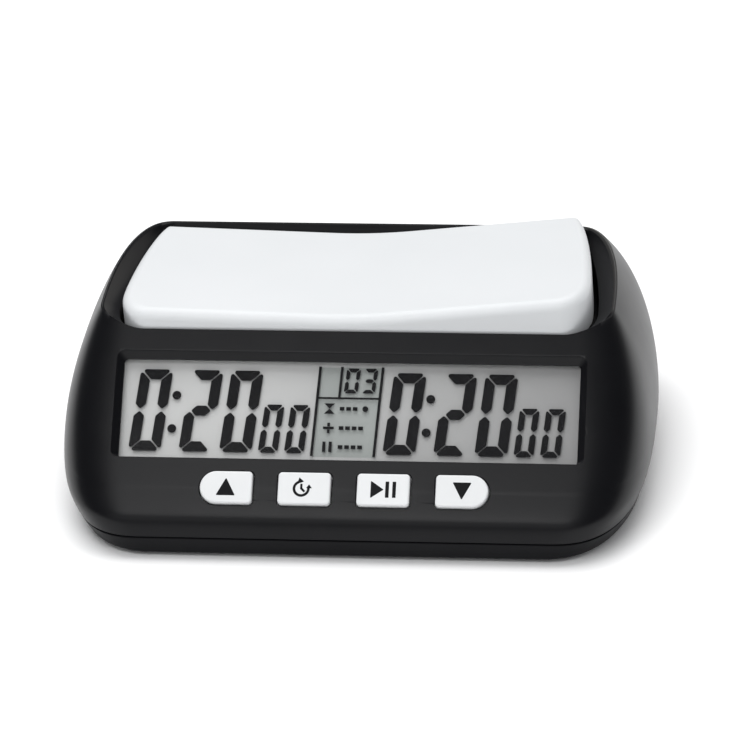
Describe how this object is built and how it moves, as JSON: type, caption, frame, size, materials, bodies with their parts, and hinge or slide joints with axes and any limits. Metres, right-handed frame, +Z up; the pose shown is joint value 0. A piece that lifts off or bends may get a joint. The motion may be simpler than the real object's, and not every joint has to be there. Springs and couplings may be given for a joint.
{
  "type": "chess clock",
  "caption": "Two-player digital chess clock: black wedge case with a bevelled display window, a row of keys and a white rocking lever on top.",
  "frame": {"origin": "on the table, under the middle of the part's box", "axes": "+X to the players' right along the longest side, +Y from the sloping front panel to the back, +Z up"},
  "size_m": [0.133, 0.095, 0.0485],
  "materials": {
    "black_abs": "satin moulded ABS",
    "black_abs_base": "fine-textured moulded ABS",
    "white_abs": "semi-gloss moulded ABS",
    "key_white": "satin moulded plastic with printed symbols",
    "clear_window": "clear acrylic",
    "lcd": "grey polariser over glass, dark segments",
    "frame_plastic": "moulded plastic",
    "foil": "white reflector foil",
    "elastomer": "conductive elastomer strip",
    "pcb": "solder mask over glass-fibre board",
    "epoxy": "black epoxy and sleeves",
    "ceramic": "ceramic chips",
    "steel": "zinc-plated steel",
    "nickel": "nickel-plated spring steel",
    "rubber": "matt rubber",
    "switch_plastic": "moulded plastic",
    "plunger_plastic": "natural acetal",
    "cell_sleeve": "plain printed sleeve over a steel can",
    "red_insulation": "PVC insulation",
    "black_insulation": "PVC insulation",
    "grey_insulation": "PVC insulation"
  },
  "bodies": {
    "case": {"top_case": "black_abs", "bottom_cover": "black_abs_base", "case_screws": "steel", "rubber_feet": "rubber", "lcd_window": "clear_window", "lcd_frame": "frame_plastic", "lcd_glass": "lcd", "lcd_reflector": "foil", "zebra_strips": "elastomer", "main_pcb": "pcb", "pcb_screws": "steel", "controller_blob": "epoxy", "quartz_crystal": "steel", "electrolytic_capacitor": "epoxy", "chip_components": "ceramic", "buzzer": "epoxy", "key_switch_bodies": "switch_plastic", "rocker_bumpers": "rubber", "dome_left": "rubber", "dome_right": "rubber", "switch_board": "pcb", "switch_board_screws": "steel", "aa_battery": "cell_sleeve", "battery_spring": "nickel", "battery_plate": "nickel", "battery_lead_red": "red_insulation", "battery_lead_black": "black_insulation", "power_lead": "black_insulation", "board_cable": "grey_insulation", "power_switch_body": "steel"},
    "rocker_lever": {"rocker": "white_abs", "rocker_pivot_pin": "steel"},
    "left_plunger": {"plunger_left": "plunger_plastic"},
    "right_plunger": {"plunger_right": "plunger_plastic"},
    "up_key": {"key_up": "key_white", "key_up_switch_button": "switch_plastic"},
    "mode_key": {"key_mode": "key_white", "key_mode_switch_button": "switch_plastic"},
    "play_key": {"key_play": "key_white", "key_play_switch_button": "switch_plastic"},
    "down_key": {"key_down": "key_white", "key_down_switch_button": "switch_plastic"},
    "power_switch_slider": {"power_slider": "switch_plastic"},
    "battery_cover": {"battery_door": "black_abs_base"}
  },
  "joints": [
    {"name": "rocker_tilt", "type": "hinge", "parent": "case", "child": "rocker_lever", "pos_m": [0, 0.009, 0.0368], "axis": [0, 1, 0], "range_deg": [0, 4.4]},
    {"name": "left_plunger_slide", "type": "slide", "parent": "case", "child": "left_plunger", "axis": [0, 0, 1], "range_m": [0, 0.00108], "deforming": ["dome_left"]},
    {"name": "right_plunger_slide", "type": "slide", "parent": "case", "child": "right_plunger", "axis": [0, 0, 1], "range_m": [-0.00108, 0], "deforming": ["dome_right"]},
    {"name": "key_up_press", "type": "slide", "parent": "case", "child": "up_key", "axis": [0, 0.6871, -0.7266], "range_m": [0, 0.0008], "stiffness_N_per_m": 2500},
    {"name": "key_mode_press", "type": "slide", "parent": "case", "child": "mode_key", "axis": [0, 0.6871, -0.7266], "range_m": [0, 0.0008], "stiffness_N_per_m": 2500},
    {"name": "key_play_press", "type": "slide", "parent": "case", "child": "play_key", "axis": [0, 0.6871, -0.7266], "range_m": [0, 0.0008], "stiffness_N_per_m": 2500},
    {"name": "key_down_press", "type": "slide", "parent": "case", "child": "down_key", "axis": [0, 0.6871, -0.7266], "range_m": [0, 0.0008], "stiffness_N_per_m": 2500},
    {"name": "power_switch_slide", "type": "slide", "parent": "case", "child": "power_switch_slider", "axis": [1, 0, 0], "range_m": [0, 0.0025]},
    {"name": "battery_door_hinge", "type": "hinge", "parent": "case", "child": "battery_cover", "pos_m": [0, 0.0137, 0.0016], "axis": [-1, 0, 0], "range_deg": [0, 80]}
  ],
  "couplings": [
    {"joint": "left_plunger_slide", "follows": "rocker_tilt", "m_per_rad": 0.014},
    {"joint": "right_plunger_slide", "follows": "rocker_tilt", "m_per_rad": -0.014}
  ]
}
